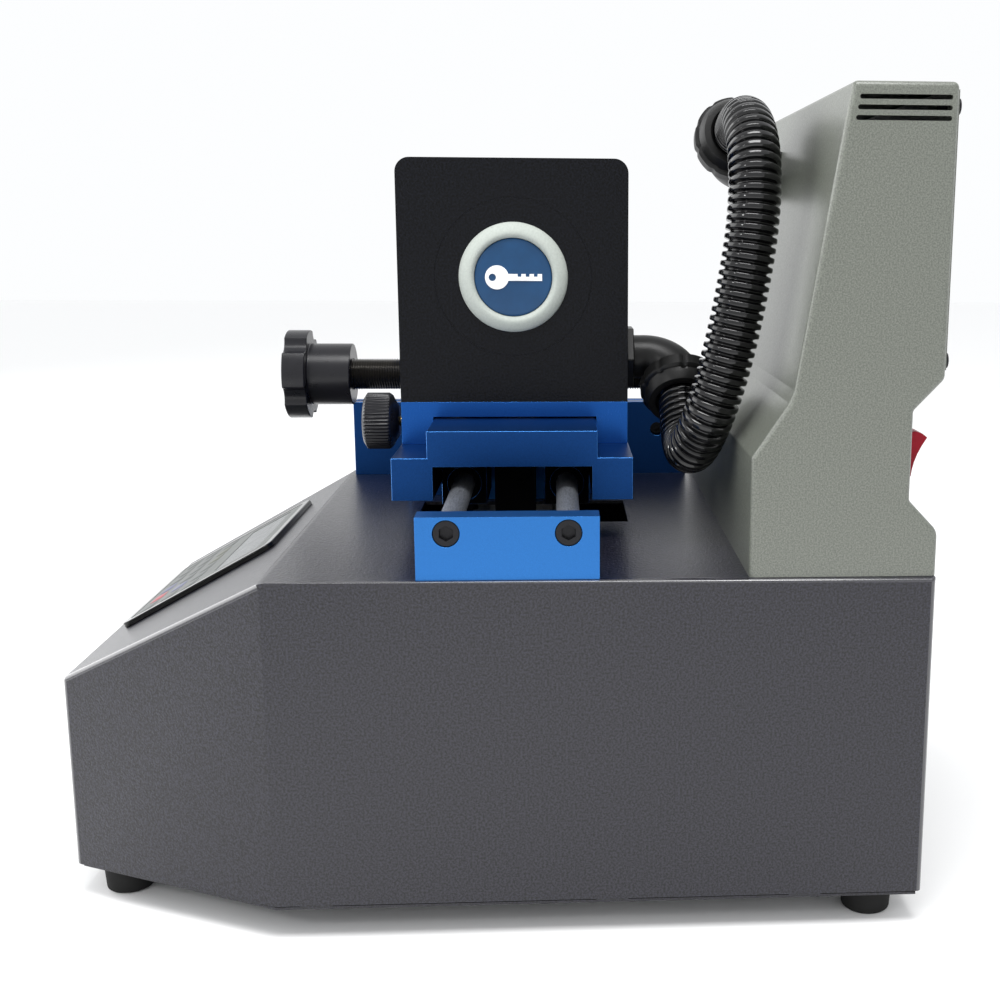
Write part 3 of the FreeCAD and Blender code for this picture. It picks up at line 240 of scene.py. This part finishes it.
def make_materials():
    charcoal = (0.0125, 0.0120, 0.0185)
    return {
        "charcoal": powder_coat("charcoal_wrinkle_coat", charcoal, grain=900, depth=0.00040, rough=0.30,
                                spread=0.85, specular=0.37, coat=0.25),
        "charcoal_edge": powder_coat("charcoal_coat_at_folds", charcoal, grain=900, depth=0.00004,
                                     rough=0.20, spread=0.6, specular=0.9, coat=0.6),
        "tower": powder_coat("grey_fine_coat", (0.126, 0.135, 0.114), grain=1250, depth=0.00018,
                             rough=0.34, spread=0.26, specular=0.5, coat=0.4),
        "housing": powder_coat("black_fine_coat", (0.0026, 0.0030, 0.0048), grain=900, depth=0.00050,
                               rough=0.36, spread=0.95, specular=0.15),
        "deep_blue": metal("blue_anodised_carriage", (0.006, 0.043, 0.165), 0.36, scale=2200,
                           metallic=0.85, spread=0.20, specular=0.3),
        "blue": metal("blue_anodised", (0.026, 0.145, 0.425), 0.34, scale=2600, metallic=0.85,
                      spread=0.12),
        "head_blue": metal("blue_anodised_head", (0.010, 0.075, 0.30), 0.30, scale=2200,
                           metallic=0.85, spread=0.20, specular=0.3),
        # The chamfer blue is lighter than the faces' blue: a painted highlight along the anodised edges.
        "blue_edge_highlight": metal("blue_chamfer_painted_highlight", (0.05, 0.22, 0.62), 0.24, scale=1800,
                           metallic=0.85, spread=0.08),
        "steel": metal("ground_steel", (0.50, 0.50, 0.50), 0.24, marks=(0.05, 1, 1), scale=1200),
        "rod": metal("brushed_rod", (0.15, 0.16, 0.18), 0.42, marks=(0.2, 1, 1), scale=1500,
                     depth=0.00003, metallic=0.45, spread=0.45),
        "bright": metal("turned_steel", (0.62, 0.62, 0.62), 0.25, marks=(1, 0.1, 1)),
        "thread": metal("blackened_thread", (0.040, 0.037, 0.033), 0.16, marks=(1, 0.2, 1),
                        metallic=0.7),
        "zinc": metal("zinc_plate", (0.42, 0.43, 0.44), 0.36, scale=300, depth=0.00002, spread=0.14),
        "oxide": metal("black_oxide_steel", (0.012, 0.012, 0.014), 0.34, scale=1200, metallic=0.4,
                       spread=0.2, specular=0.3),
        "brass": metal("brass_screw", (0.72, 0.58, 0.30), 0.28, marks=(1, 0.2, 1), depth=0.00002),
        "aluminium": metal("machined_aluminium", (0.55, 0.56, 0.57), 0.33, marks=(1, 0.08, 1),
                           scale=700),
        "silver": metal("satin_silver_ring", (0.44, 0.475, 0.44), 0.62, depth=0.00003, metallic=0.0,
                        spread=0.07, specular=0.2),
        "plastic": plastic("black_moulded_plastic", (0.009, 0.009, 0.010), 0.34, grain=1600,
                           depth=0.00003, specular=0.4),
        "knob": plastic("black_phenolic_knob", (0.007, 0.007, 0.010), 0.28, grain=1300,
                        depth=0.00003, specular=0.36),
        "rubber": plastic("black_rubber", (0.012, 0.012, 0.012), 0.75, grain=1200, depth=0.00006,
                          specular=0.2),
        "hose": plastic("black_conduit_nylon", (0.002, 0.002, 0.0025), 0.14, depth=0.00002,
                        coat=0.25, specular=0.40),
        "fitting": plastic("black_fitting_nylon", (0.005, 0.005, 0.005), 0.36, grain=1000,
                           depth=0.00010, specular=0.26),
        "red": plastic("red_switch_plastic", (0.26, 0.004, 0.014), 0.34, grain=1400, depth=0.00002,
                       specular=0.18),
        "board": plastic("green_solder_mask", (0.02, 0.16, 0.07), 0.35, depth=0.00003),
        "overlay": plastic("satin_overlay", (0.085, 0.092, 0.088), 0.36, grain=700, depth=0.000008,
                           specular=0.28),
        "window": plastic("display_window", (0.030, 0.038, 0.042), 0.22, grain=500, depth=0.000005,
                          specular=0.35),
        "key_red": plastic("red_membrane_key", (0.30, 0.035, 0.05), 0.32, specular=0.25),
        "key_blue": plastic("blue_membrane_key", (0.08, 0.085, 0.16), 0.34, specular=0.25),
        "key_grey": plastic("grey_membrane_key", (0.055, 0.062, 0.06), 0.34, specular=0.25),
        "key_olive": plastic("olive_membrane_key", (0.06, 0.065, 0.045), 0.34, specular=0.25),
        "gloss": plastic("black_gloss_frame", (0.003, 0.003, 0.003), 0.14, coat=0.3, specular=0.15),
        # A near-black that is painted shade: it stands for the unlit inside of the saddle's channel, the
        # parts in it and the gap below the cover.
        "shadow_black": plastic("painted_shade_black", (0.0015, 0.0015, 0.002), 0.85, depth=0.00002,
                                specular=0.05),
        "badge": plastic("blue_enamel", (0.006, 0.050, 0.135), 0.30, grain=1200, specular=0.35),
        "white": plastic("white_enamel", (0.86, 0.87, 0.88), 0.30, grain=1200),
    }


# ------------------------------------------------------------------ mesh helpers
def new_object(name, mesh):
    obj = bpy.data.objects.new(name, mesh)
    scene.collection.objects.link(obj)
    return obj


def smooth(mesh, angle):
    """Smooth shading, with edges sharper than the angle in degrees kept crisp."""
    mesh.shade_smooth()
    mesh.set_sharp_from_angle(angle=math.radians(angle))


def skin(rows, steps, loop=False):
    """Faces between rows of points, with a cap on each end unless the last row joins the first."""
    faces = []
    for row in range(rows if loop else rows - 1):
        here = row * steps
        there = (row + 1) % rows * steps
        for k in range(steps):
            n = (k + 1) % steps
            faces.append((here + k, here + n, there + n, there + k))
    if not loop:
        faces.append(tuple(range(steps)))
        faces.append(tuple(range((rows - 1) * steps, rows * steps)))
    return faces


def skinned(name, points, faces, angle):
    """An object from points and faces, with every face turned outward."""
    mesh = bpy.data.meshes.new(name)
    mesh.from_pydata(points, [], faces)
    bm = bmesh.new()
    bm.from_mesh(mesh)
    bmesh.ops.recalc_face_normals(bm, faces=bm.faces)
    bm.to_mesh(mesh)
    bm.free()
    smooth(mesh, angle)
    return new_object(name, mesh)


def cleaned_copy(node):
    """The node's own shape in a new mesh, with doubled points merged and flat faces made whole."""
    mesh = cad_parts[node].data.copy()
    bm = bmesh.new()
    bm.from_mesh(mesh)
    bmesh.ops.remove_doubles(bm, verts=bm.verts, dist=0.000002)
    bmesh.ops.dissolve_limit(bm, angle_limit=math.radians(0.6), verts=bm.verts, edges=bm.edges,
                             delimit={"NORMAL"})
    bm.to_mesh(mesh)
    bm.free()
    if "custom_normal" in mesh.attributes:
        mesh.attributes.remove(mesh.attributes["custom_normal"])
    return mesh


def mark_folds(mesh, angle):
    """Weights the outer edges where two broad sheets of a folded cover meet, and no others."""
    bm = bmesh.new()
    bm.from_mesh(mesh)
    weight = bm.edges.layers.float.new("bevel_weight_edge")
    for edge in bm.edges:
        if len(edge.link_faces) != 2 or not edge.is_convex:
            continue
        broad = min(face.calc_area() for face in edge.link_faces) > BROAD_FACE
        if broad and edge.calc_face_angle(0) > math.radians(angle):
            edge[weight] = 1.0
    bm.to_mesh(mesh)
    bm.free()


def soften(node, body, material, width, segments=2, edge=None, angle=32, folds=False):
    """A CAD node with its edges rounded, in place of the sharp one.  With folds, only the folds of
    the sheet are rounded."""
    mesh = cleaned_copy(node)
    obj = new_object(node + "_finished", mesh)
    mesh.materials.clear()
    mesh.materials.append(material)
    if edge:
        mesh.materials.append(edge)
    bevel = obj.modifiers.new("edges", "BEVEL")
    bevel.width = width * mm
    bevel.segments = segments
    bevel.limit_method = "WEIGHT" if folds else "ANGLE"
    bevel.angle_limit = math.radians(angle)
    bevel.use_clamp_overlap = not folds
    bevel.material = 1 if edge else -1
    bevel.harden_normals = True
    if folds:
        mark_folds(mesh, angle)
    smooth(mesh, 40)
    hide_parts(node)
    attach(obj, body)
    return obj


def paint_channel_shade(obj, material):
    """The inside of the saddle's channel, painted black as painted shade where no light reaches.  The near
    end faces stay blue.
    """
    mesh = obj.data
    mesh.materials.append(material)
    low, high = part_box("saddle")
    centre = (low + high) / 2
    margin = 0.1
    near_end = 0.2
    for face in mesh.polygons:
        spot = face.center
        across = abs(spot.y - centre.y) < (CHANNEL_HALF + margin) * mm
        below = spot.z < (CHANNEL_ROOF + margin) * mm
        if across and below and spot.x < high.x - near_end * mm:
            face.material_index = len(mesh.materials) - 1


def paint_gap_shade(obj, material):
    """The pan above its lip, painted black as painted shade of the dark gap below the cover."""
    mesh = obj.data
    mesh.materials.append(material)
    margin = 0.1
    for face in mesh.polygons:
        if face.center.z > (PAN_LIP_TOP - margin) * mm:
            face.material_index = len(mesh.materials) - 1


def axis_frame(direction):
    """Two directions square to an axis, and the axis itself."""
    along = Vector(direction).normalized()
    side = Vector((0, 0, 1)) if abs(along.z) < 0.9 else Vector((1, 0, 0))
    first = along.cross(side).normalized()
    return first, along.cross(first).normalized(), along


def turned(name, origin, direction, outline, steps=96, shape=None, closed=True):
    """A turned piece: outline is (distance along, radius) in millimetres.  shape(turn, along, radius)
    may change the radius around the axis, for ribs and knurls."""
    first, second, along = axis_frame(direction)
    points = []
    for distance, radius in outline:
        for k in range(steps):
            turn = 2 * math.pi * k / steps
            r = shape(turn, distance, radius) if shape else radius
            spot = Vector(origin) + along * (distance * mm)
            points.append(spot + (first * math.cos(turn) + second * math.sin(turn)) * (r * mm))
    return skinned(name, points, skin(len(outline), steps, loop=closed), 38)


def threaded_rod(name, origin, direction, length, radius, pitch, depth, steps, per_turn, starts=1):
    """A screw thread cut along the whole rod: rows follow the helix through their phase."""
    first, second, along = axis_frame(direction)
    rows = int(length / pitch * per_turn) + 1
    points = []
    for i in range(rows):
        distance = length * i / (rows - 1)
        taper = min(1.0, distance / pitch, (length - distance) / pitch)
        spot = Vector(origin) + along * (distance * mm)
        for k in range(steps):
            turn = 2 * math.pi * k / steps
            phase = (distance / pitch - starts * k / steps) % 1.0
            ridge = abs(2 * phase - 1)
            r = radius - depth * max(ridge, 1 - taper)
            points.append(spot + (first * math.cos(turn) + second * math.sin(turn)) * (r * mm))
    return skinned(name, points, skin(rows, steps), 50)


def finish_piece(obj, body, material, nodes=()):
    """Gives a made piece its material and its body, and hides the CAD nodes that it stands for."""
    obj.data.materials.clear()
    obj.data.materials.append(material)
    if nodes:
        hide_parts(*nodes)
    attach(obj, body)


def node_span(node, axis):
    """The low end of a node's centre line along an axis, and its length in millimetres."""
    low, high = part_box(node)
    start = (low + high) / 2
    start[axis] = low[axis]
    return start, (high[axis] - low[axis]) / mm


# ------------------------------------------------------------------ the conduit
CONDUIT_RADIUS = 13.5
CORRUGATION_PITCH = 4.7
GROOVE_DEPTH = 2.7
CREST_SHARE = 0.56
CREST_FALL = 0.35
ELBOW_BEND = 20.0
WALL_NORMAL = Vector((0, TOWER_KNEE_RISE - TOWER_PEAK_RISE, TOWER_PEAK_Y - TOWER_KNEE_Y)).normalized()
UPPER_AXIS = Vector((0.95, 0, 0.3)).normalized()
LOWER_AXIS = Vector((0.788, 0, -0.616)).normalized()


def elbow_end(start, first, second, lead, past_bend):
    """The end of an elbow that runs lead along first, turns, and ends past the bend along second."""
    reach = ELBOW_BEND * math.tan(first.angle(second) / 2)
    return start + first * (lead + reach) + second * (reach + past_bend)


def conduit_route():
    """Control points of the conduit in millimetres, from the tower's elbow to the housing's."""
    rise = 197
    lean = (TOWER_PEAK_Y - TOWER_KNEE_Y) / (TOWER_PEAK_RISE - TOWER_KNEE_RISE)
    wall = Vector((-27, TOWER_KNEE_Y + lean * (rise - TOWER_KNEE_RISE), COVER_TOP + rise))
    housing_back = Vector((-3, 73.5, 277))
    upper = elbow_end(wall, WALL_NORMAL, UPPER_AXIS, lead=11, past_bend=24)
    lower = elbow_end(housing_back, Vector((0, 1, 0)), LOWER_AXIS, lead=10.5, past_bend=4)
    bends = [(64, 133, 404.5), (85.5, 134, 385.5), (93.5, 132.5, 352), (95, 126, 312), (95, 118.5, 278),
             (92, 110.5, 252), (76, 104.8, 234.5)]
    return ([upper, upper + UPPER_AXIS * 26] + [Vector(bend) for bend in bends]
            + [lower + LOWER_AXIS * 47, lower + LOWER_AXIS * 24, lower])


def centreline(points):
    """Points along the smooth spline that has the route as its control points."""
    data = bpy.data.curves.new("conduit_line", "CURVE")
    data.dimensions = "3D"
    data.resolution_u = 48
    spline = data.splines.new("NURBS")
    spline.points.add(len(points) - 1)
    for spot, point in zip(spline.points, points):
        spot.co = (*(point * mm), 1)
    spline.order_u = 3
    spline.use_endpoint_u = True
    obj = new_object("conduit_line", data)
    depsgraph = bpy.context.evaluated_depsgraph_get()
    mesh = bpy.data.meshes.new_from_object(obj.evaluated_get(depsgraph))
    line = [v.co.copy() for v in mesh.vertices]
    bpy.data.objects.remove(obj)
    bpy.data.meshes.remove(mesh)
    return line


def resampled(line, step):
    """The same line with its points evenly spaced, and its length."""
    lengths = [0.0]
    for a, b in zip(line, line[1:]):
        lengths.append(lengths[-1] + (b - a).length)
    total = lengths[-1]
    count = int(total / step)
    out = []
    at = 0
    for i in range(count + 1):
        want = total * i / count
        while at < len(lengths) - 2 and lengths[at + 1] < want:
            at += 1
        share = (want - lengths[at]) / max(lengths[at + 1] - lengths[at], 1e-9)
        out.append(line[at].lerp(line[at + 1], share))
    return out, total


def corrugation(distance):
    """Radius in millimetres at a distance along the conduit: broad rounded crests, narrow grooves."""
    phase = (distance / CORRUGATION_PITCH) % 1.0
    if phase < CREST_SHARE:
        middle = abs(phase - CREST_SHARE / 2) / (CREST_SHARE / 2)
        return CONDUIT_RADIUS - CREST_FALL * middle ** 4
    groove = 1 - CREST_SHARE
    middle = abs(phase - CREST_SHARE - groove / 2) / (groove / 2)
    return CONDUIT_RADIUS - CREST_FALL - (GROOVE_DEPTH - CREST_FALL) * (1 - middle ** 3)


def make_conduit(materials):
    """The corrugated tube, swept along its centreline from the tower's elbow to the housing's."""
    row_spacing = 0.00042
    steps = 44
    line, total = resampled(centreline(conduit_route()), row_spacing)
    last = len(line) - 1
    tangents = [(line[min(i + 1, last)] - line[max(i - 1, 0)]).normalized() for i in range(last + 1)]
    side = tangents[0].cross(Vector((0, 1, 0))).normalized()
    points = []
    for i, (spot, tangent) in enumerate(zip(line, tangents)):
        side = (side - tangent * side.dot(tangent)).normalized()
        other = tangent.cross(side)
        radius = corrugation(total / mm * i / last) * mm
        for k in range(steps):
            turn = 2 * math.pi * k / steps
            points.append(spot + (side * math.cos(turn) + other * math.sin(turn)) * radius)
    tube = skinned("conduit_tube", points, skin(len(line), steps), 60)
    tube.data.materials.append(materials["hose"])
    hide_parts("flexible_conduit")
    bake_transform(tube)


def nut_ribs(turn, along, radius):
    """Shallow grooves around the wide part of a conduit nut."""
    grooves = 10
    depth = 0.9
    steepness = 2.2
    wide_from = 20
    wide_until = 10.5
    if radius < wide_from or along > wide_until:
        return radius
    wave = abs(math.cos(turn * grooves / 2))
    return radius - depth * (1 - min(1.0, wave * steepness))


def make_fittings(materials):
    """The two ribbed nuts, and the elbows with their hexagonal roots."""
    route = conduit_route()
    overlap = 4
    outline = [(1, 12.7), (1, 21.4), (2, 23.1), (8.6, 23.1), (9.6, 22.2), (10.0, 20.9), (11.2, 20.4),
               (11.6, 21.0), (15.6, 19.4), (16.8, 18.6), (17, 17.6), (17, 15.2), (16, 13.95),
               (4.2, 13.85), (4, 12.7)]
    ends = (("upper", "chassis", route[0], UPPER_AXIS), ("lower", "carriage", route[-1], LOWER_AXIS))
    for name, body, end, axis in ends:
        mouth = (end - axis * overlap) * mm
        nut = turned(name + "_ribbed_nut", mouth, axis, outline, 144, nut_ribs)
        finish_piece(nut, body, materials["fitting"], [name + "_elbow_nut"])
        soften(name + "_elbow", body, materials["fitting"], 0.8)


# ------------------------------------------------------------------ knobs and screws
def knurl(turn, along, radius):
    """Straight ridges on the rim of the knurled knob, and none on its chamfers."""
    ridges = 48
    depth = 0.85
    rim_from = 15.6
    if radius > rim_from:
        return radius - depth * (0.5 - 0.5 * math.cos(turn * ridges))
    return radius


def make_knobs(materials):
    """Both knobs, the threads of the three screws, and the collars on the clamp screw."""
    outline = [(0.0, 3.3), (0.0, 13.0), (0.5, 13.9), (1.2, 15.0), (2.0, 16.25), (14.4, 16.25), (15.4, 15.5),
               (16.2, 14.9), (17.0, 13.2), (18.4, 10.8), (20.2, 8.1), (20.2, 3.3)]
    start = node_span("lock_knob", Y_AXIS)[0]
    knob = turned("knurled_lock_knob", start, (0, 1, 0), outline, 336, knurl)
    finish_piece(knob, "lock", materials["knob"], ["lock_knob"])
    start, length = node_span("lock_screw", Y_AXIS)
    screw = threaded_rod("lock_screw_thread", start, (0, 1, 0), length, radius=3.0, pitch=1.0, depth=0.5,
                         steps=28, per_turn=6)
    finish_piece(screw, "lock", materials["brass"], ["lock_screw"])
    soften("star_knob", "clamp", materials["knob"], 1.3, 3, angle=40)

    start, length = node_span("clamp_screw", Y_AXIS)
    rod = threaded_rod("clamp_screw_thread", start, (0, 1, 0), length, radius=10.0, pitch=1.5875,
                       depth=0.9, steps=48, per_turn=6)
    finish_piece(rod, "clamp", materials["thread"], ["clamp_screw"])
    bore = 9.3
    chamfer = 0.5
    for name, face, width, radius in (("front_collar", -25.4, 3.0, 14.0), ("rear_collar", -7.6, 3.6, 13.0)):
        ring = turned(name, (start.x, face * mm, start.z), (0, 1, 0),
                      [(0, bore), (0, radius - chamfer), (chamfer, radius), (width - chamfer, radius),
                       (width, radius - chamfer), (width, bore)])
        finish_piece(ring, "clamp", materials["oxide"])

    start, length = node_span("drive_screw", X_AXIS)
    feed = threaded_rod("feed_screw_thread", start, (1, 0, 0), length, radius=5.0, pitch=2.0, depth=0.8,
                        steps=32, per_turn=4, starts=4)
    finish_piece(feed, "feed_screw", materials["steel"], ["drive_screw"])


# ------------------------------------------------------------------ badge on the housing
def make_badge(materials):
    """The domed ring, the blue disc inside it, and the key sign on the disc."""
    start = node_span("medallion_ring", X_AXIS)[0]
    ring_outline = [(0.0, 21.55), (0.0, 30.3), (0.7, 30.2), (2.0, 29.4), (3.2, 27.9), (4.0, 26.2),
                    (4.5, 24.6), (4.4, 23.5), (3.9, 22.7), (3.1, 22.1), (2.4, 21.7)]
    disc_outline = [(0, 21.35), (1.9, 21.35), (2.25, 20.9), (2.4, 20.0), (2.4, 1.0)]
    ring = turned("domed_badge_ring", start, (1, 0, 0), ring_outline, 160)
    finish_piece(ring, "carriage", materials["silver"], ["medallion_ring"])
    disc = turned("badge_disc", start, (1, 0, 0), disc_outline, 128, closed=False)
    finish_piece(disc, "carriage", materials["badge"], ["medallion_disc"])
    soften("medallion_emblem", "carriage", materials["white"], 0.12)


# ------------------------------------------------------------------ control panel
def on_slope(across, up_slope, off_slope):
    """The point on the front slope at these distances in millimetres."""
    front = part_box("base_cover")[0].y
    length = math.hypot(SLOPE_RUN, SLOPE_RISE)
    foot = Vector((0, front, COVER_FRONT_TOP * mm))
    up = Vector((0, SLOPE_RUN / length, SLOPE_RISE / length))
    off = Vector((0, -SLOPE_RISE / length, SLOPE_RUN / length))
    return foot + Vector((across * mm, 0, 0)) + up * (up_slope * mm) + off * (off_slope * mm)


def raised_key(name, x, v, material):
    """A soft-edged membrane key: a rounded outline that rises and rounds over."""
    width, depth, corner = 14.5, 8.5, 1.6
    base, top = 2.95, 3.16
    rounding = 0.08
    inset_at_top = 0.35
    corner_steps = 6
    rings = ((base, 0.0), (top - rounding, 0.0), (top, inset_at_top))
    points = []
    for lift, inset in rings:
        for cx, cy, start in ((1, 1, 0), (-1, 1, 90), (-1, -1, 180), (1, -1, 270)):
            for k in range(corner_steps + 1):
                turn = math.radians(start + 90 * k / corner_steps)
                px = cx * (width / 2 - corner) + math.cos(turn) * (corner - inset)
                py = cy * (depth / 2 - corner) + math.sin(turn) * (corner - inset)
                points.append(on_slope(x + px, v + py, lift))
    key = skinned(name, points, skin(len(rings), 4 * (corner_steps + 1)), 40)
    finish_piece(key, "chassis", material)


def make_panel(materials):
    """The frame, the overlay with its window, and a grid of keys with the coloured ones in place."""
    soften("control_bezel", "chassis", materials["gloss"], 1.0, 3)
    soften("control_overlay", "chassis", materials["overlay"], 0.15)
    soften("display_window", "chassis", materials["window"], 0.15)
    tones = {(4, 0): "key_red", (4, 1): "key_blue", (3, 0): "key_blue", (1, 2): "key_olive",
             (2, 2): "key_olive"}
    first_x, first_v = -72, 27
    step_x, step_v = 19.2, 13.5
    for column in range(6):
        for row in range(3):
            name = "membrane_key_%d_%d" % (column, row)
            tone = materials[tones.get((column, row), "key_grey")]
            raised_key(name, first_x + step_x * column, first_v + step_v * row, tone)


# ------------------------------------------------------------------ every other piece
SOFTENED = (
    # node, body, material, width of the rounded edge in millimetres, segments
    ("base_pan", "chassis", "charcoal", 0.6, 2),
    ("rubber_feet", "chassis", "rubber", 1.2, 3),
    ("foot_screws", "chassis", "oxide", 0.4, 2),
    ("pan_screws", "chassis", "zinc", 0.4, 2),
    ("tower_shell", "chassis", "tower", 0.5, 2),
    ("tower_rear_cover", "chassis", "tower", 0.4, 2),
    ("rear_cover_screws", "chassis", "oxide", 0.7, 3),
    ("switch_bezel", "chassis", "plastic", 0.6, 2),
    ("power_rocker", "rocker", "red", 0.8, 3),
    ("power_inlet", "chassis", "plastic", 0.5, 2),
    ("rail_end_block", "chassis", "blue", 0.7, 1),
    ("rail_far_block", "chassis", "blue", 0.7, 1),
    ("guide_rods", "chassis", "rod", 0.5, 2),
    ("rod_end_screws", "chassis", "oxide", 0.5, 2),
    ("rail_block_bolts", "chassis", "oxide", 0.4, 2),
    ("drive_motor", "chassis", "plastic", 1.0, 2),
    ("motor_bracket", "chassis", "zinc", 0.5, 2),
    ("screw_bearings", "chassis", "aluminium", 0.6, 2),
    ("power_supply", "chassis", "zinc", 0.8, 2),
    ("control_board", "chassis", "board", 0.2, 2),
    ("saddle", "carriage", "deep_blue", 0.9, 1),
    # The bushings sit in the saddle's unlit channel and get the painted-shade black.
    ("linear_bushings", "carriage", "shadow_black", 0.5, 2),
    ("head_block", "carriage", "head_blue", 0.6, 1),
    ("housing_shell", "carriage", "housing", 0.5, 2),
    ("face_plate", "carriage", "housing", 0.5, 2),
    ("back_plate", "carriage", "housing", 0.5, 2),
    ("back_plate_screws", "carriage", "oxide", 0.4, 2),
    # The nut bracket sits in the same channel and gets the painted-shade black too.
    ("nut_bracket", "carriage", "shadow_black", 0.6, 2),
    ("drive_nut", "carriage", "brass", 0.6, 2),
    ("depth_rails", "carriage", "steel", 0.4, 2),
    ("depth_motor", "carriage", "plastic", 0.8, 2),
    ("spindle_block", "spindle_slide", "aluminium", 0.8, 2),
    ("spindle_motor", "spindle_slide", "plastic", 0.8, 2),
    ("depth_actuator", "spindle_slide", "steel", 0.4, 2),
    ("spindle_shaft", "cutter", "steel", 0.5, 2),
    ("cutter_wheel", "cutter", "bright", 0.25, 1),
    ("cutter_nut", "cutter", "oxide", 0.6, 2),
    ("vise_body", "chassis", "deep_blue", 0.9, 1),
    ("fixed_jaw", "chassis", "steel", 0.4, 2),
    ("jaw_carrier", "jaw", "deep_blue", 0.9, 1),
    ("moving_jaw", "jaw", "steel", 0.4, 2),
    ("vise_bar", "chassis", "deep_blue", 0.7, 1),
    ("bar_screws", "chassis", "oxide", 0.4, 2),
)


def make_softened(materials):
    """Every piece that keeps its CAD shape.  Anodised pieces get one chamfer on each edge, in a lighter
    blue that is a painted highlight.
    """
    for node, body, tone, width, segments in SOFTENED:
        # Anodised pieces get the lighter chamfer blue, a painted highlight on every edge.
        edge = materials["blue_edge_highlight"] if tone in ANODISED else None
        piece = soften(node, body, materials[tone], width, segments, edge)
        if node == "saddle":
            paint_channel_shade(piece, materials["shadow_black"])
        if node == "base_pan":
            paint_gap_shade(piece, materials["shadow_black"])
    soften("base_cover", "chassis", materials["charcoal"], 2.6, 5, materials["charcoal_edge"], folds=True)


add_camera()
add_stage()
materials = make_materials()
make_conduit(materials)
make_fittings(materials)
make_knobs(materials)
make_badge(materials)
make_panel(materials)
make_softened(materials)
